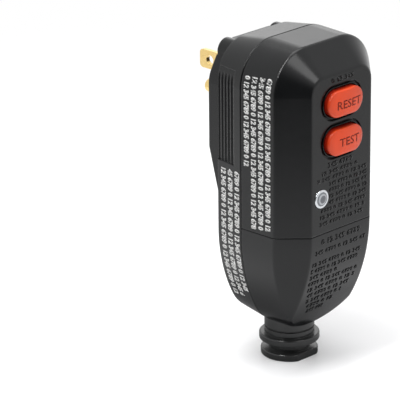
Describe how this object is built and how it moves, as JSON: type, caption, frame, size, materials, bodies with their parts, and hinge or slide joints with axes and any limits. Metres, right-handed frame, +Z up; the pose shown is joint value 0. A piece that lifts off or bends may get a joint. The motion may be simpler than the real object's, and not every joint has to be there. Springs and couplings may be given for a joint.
{
  "type": "rcd adapter plug",
  "caption": "Plug-in ground fault protector for a user-fitted cord: tapered black case with bevelled front, oval reset and test buttons, indicator, blades, ground pin and rubber cord bushing.",
  "frame": {"origin": "midway between the two flat blades, on the raised face that meets the outlet", "axes": "+Y out of the outlet face along the blades, +Z up, away from the cord, +X to the right seen from the buttons"},
  "size_m": [0.0462, 0.0629, 0.1126],
  "materials": {
    "case_black": "moulded black plastic, satin with a soft gloss",
    "button_orange": "moulded orange-red plastic",
    "brass": "bright stamped or turned brass",
    "steel": "zinc-plated steel",
    "spring_steel": "drawn spring wire",
    "nylon_natural": "natural white nylon",
    "nylon_black": "black glass-filled nylon",
    "contact_copper": "copper alloy strip with silver contacts",
    "enamelled_copper": "enamelled copper winding under clear tape",
    "core_case": "moulded core case, dark grey",
    "board_green": "green glass-epoxy board",
    "clear_plastic": "clear epoxy",
    "lens_grey": "smoke-grey clear plastic",
    "ring_silver": "silver-coloured ring",
    "varistor_blue": "blue epoxy coating",
    "capacitor_yellow": "yellow film capacitor case",
    "package_black": "moulded component package",
    "resistor_tan": "tan coating",
    "wire_black": "black insulation",
    "wire_white": "white insulation",
    "rubber_black": "black rubber"
  },
  "bodies": {
    "root": {"rear_housing": "case_black", "front_cover": "case_black", "terminal_cover": "case_black", "line_blade": "brass", "neutral_blade": "brass", "ground_pin": "brass", "reset_spring": "spring_steel", "mechanism_frame": "nylon_natural", "fixed_contacts": "contact_copper", "break_springs": "spring_steel", "solenoid_yoke": "steel", "solenoid_bobbin": "nylon_natural", "solenoid_coil": "enamelled_copper", "plunger_spring": "spring_steel", "test_leaf": "contact_copper", "test_contact": "contact_copper", "differential_transformer": "core_case", "neutral_transformer": "core_case", "circuit_board": "board_green", "indicator_light": "clear_plastic", "indicator_lens": "lens_grey", "indicator_bezel": "ring_silver", "varistor": "varistor_blue", "capacitor": "capacitor_yellow", "thyristor": "package_black", "controller_chip": "package_black", "resistors": "resistor_tan", "diodes": "package_black", "terminal_block": "nylon_black", "line_terminal": "brass", "neutral_terminal": "brass", "ground_strap": "brass", "line_conductor": "wire_black", "neutral_conductor": "wire_white", "terminal_screws": "steel", "cord_gland": "rubber_black", "cord_clamp": "nylon_black", "clamp_screws": "steel", "upper_case_screws": "steel", "lower_case_screws": "steel"},
    "reset": {"reset_button": "button_orange", "reset_shaft": "steel"},
    "carrier": {"contact_carrier": "nylon_black", "moving_contacts": "contact_copper"},
    "latch": {"latch_plate": "steel"},
    "plunger": {"solenoid_plunger": "steel"},
    "test": {"test_button": "button_orange"}
  },
  "joints": [
    {"name": "reset_press", "type": "slide", "parent": "root", "child": "reset", "axis": [0, 1, 0], "range_m": [0, 0.0025], "stiffness_N_per_m": 500, "springref_m": -0.004, "deforming": ["reset_spring"]},
    {"name": "carrier_slide", "type": "slide", "parent": "root", "child": "carrier", "axis": [0, 1, 0], "range_m": [0, 0.0025], "deforming": ["break_springs"]},
    {"name": "test_press", "type": "slide", "parent": "root", "child": "test", "axis": [0, 1, 0], "range_m": [0, 0.0013], "stiffness_N_per_m": 600, "springref_m": -0.002, "deforming": ["test_leaf"]},
    {"name": "plunger_stroke", "type": "slide", "parent": "root", "child": "plunger", "axis": [0, 0, 1], "range_m": [0, 0.002], "stiffness_N_per_m": 150, "springref_m": -0.003, "deforming": ["plunger_spring"]},
    {"name": "latch_slide", "type": "slide", "parent": "carrier", "child": "latch", "axis": [0, 0, 1], "range_m": [0, 0.002]}
  ],
  "couplings": [
    {"joint": "carrier_slide", "follows": "reset_press", "ratio": 1},
    {"joint": "latch_slide", "follows": "plunger_stroke", "ratio": 1}
  ]
}
